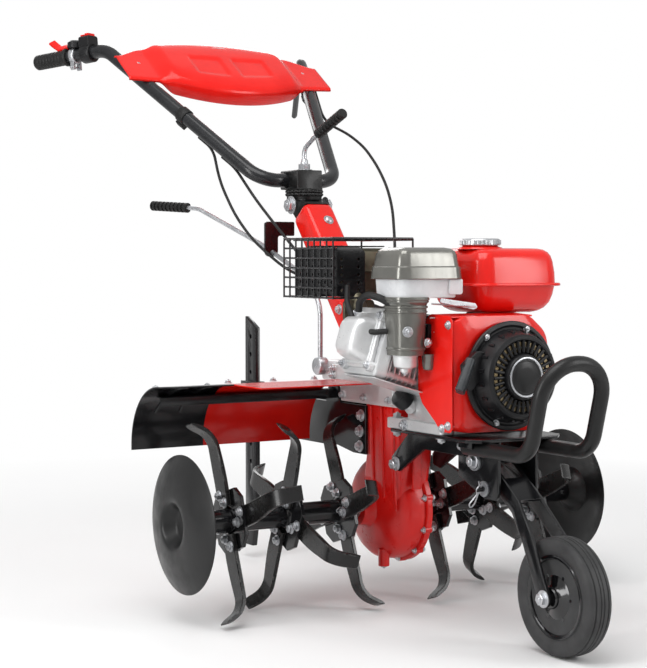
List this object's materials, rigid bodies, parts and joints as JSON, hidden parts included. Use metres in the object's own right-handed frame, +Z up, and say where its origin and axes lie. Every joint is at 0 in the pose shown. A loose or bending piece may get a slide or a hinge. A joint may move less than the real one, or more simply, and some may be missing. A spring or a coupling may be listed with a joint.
{
  "type": "walk-behind two-side rotary tiller",
  "caption": "Walk-behind garden tiller: single-cylinder petrol engine, chain-case tine rotor with side discs, red fenders, folding front wheel, swivelling handlebar.",
  "frame": {"origin": "centre of the whole machine's box, on the floor", "axes": "+X to the machine's left, +Y to the rear where the operator walks, +Z up; the engine and front wheel point to -Y"},
  "size_m": [0.94, 1.611, 1.1797],
  "materials": {
    "red_paint": "gloss",
    "black_paint": "satin",
    "cast_grey": "satin",
    "steel": "satin",
    "zinc": "gloss",
    "cast_iron": "matte",
    "red_plastic": "gloss",
    "grey_plastic": "satin",
    "black_plastic": "matte",
    "grip_rubber": "matte",
    "tyre_rubber": "matte"
  },
  "bodies": {
    "chassis": {"gearcase": "red_paint", "upper_gearbox": "black_paint", "engine_bed": "black_paint", "wheel_bracket": "black_paint", "bumper": "black_paint", "engine_block": "cast_grey", "valve_cover": "cast_grey", "fan_shroud": "red_paint", "starter": "black_plastic", "fuel_tank": "red_paint", "fuel_cap": "black_plastic", "air_cleaner": "black_plastic", "air_duct": "grey_plastic", "carburettor": "cast_grey", "muffler": "steel", "muffler_guard": "black_paint", "column": "red_paint", "column_head": "cast_iron", "fender_left": "red_paint", "fender_right": "red_paint", "fender_wing_left": "black_paint", "fender_wing_right": "black_paint", "fender_stay": "black_paint", "hitch_bracket": "black_paint", "shift_lever": "zinc", "shift_grip": "grip_rubber", "cable_throttle": "black_plastic", "cable_stop": "black_plastic", "cable_clutch": "black_plastic"},
    "rotor": {"tine_shaft": "steel", "tines_left": "black_paint", "tines_right": "black_paint", "disc_left": "black_paint", "disc_right": "black_paint"},
    "wheel_arm": {"wheel_fork": "black_paint"},
    "wheel": {"wheel_rim": "black_paint", "wheel_tyre": "tyre_rubber"},
    "handlebar_body": {"swivel_clamp": "black_paint", "handlebar": "black_paint", "handlebar_panel": "red_plastic", "grip_left": "grip_rubber", "grip_right": "grip_rubber", "throttle": "black_plastic", "switch_box": "black_plastic", "clutch_lever": "black_paint", "clamp_lever": "zinc", "clamp_grip": "grip_rubber"},
    "stake": {"depth_stake": "black_paint"}
  },
  "joints": [
    {"name": "rotor_spin", "type": "hinge", "parent": "chassis", "child": "rotor", "pos_m": [0, -0.15459, 0.187], "axis": [1, 0, 0], "continuous": true},
    {"name": "wheel_fold", "type": "hinge", "parent": "chassis", "child": "wheel_arm", "pos_m": [0, -0.50659, 0.316], "axis": [-1, 0, 0], "range_deg": [0, 45]},
    {"name": "wheel_spin", "type": "hinge", "parent": "wheel_arm", "child": "wheel", "pos_m": [0, -0.69959, 0.1025], "axis": [1, 0, 0], "continuous": true},
    {"name": "handlebar_swivel", "type": "hinge", "parent": "chassis", "child": "handlebar_body", "pos_m": [0, 0.16341, 0.812], "axis": [0, 0, 1], "range_deg": [-30, 30], "deforming": ["cable_throttle", "cable_stop", "cable_clutch"]},
    {"name": "stake_slide", "type": "slide", "parent": "chassis", "child": "stake", "axis": [0, 0, 1], "range_m": [-0.02, 0.12]}
  ]
}
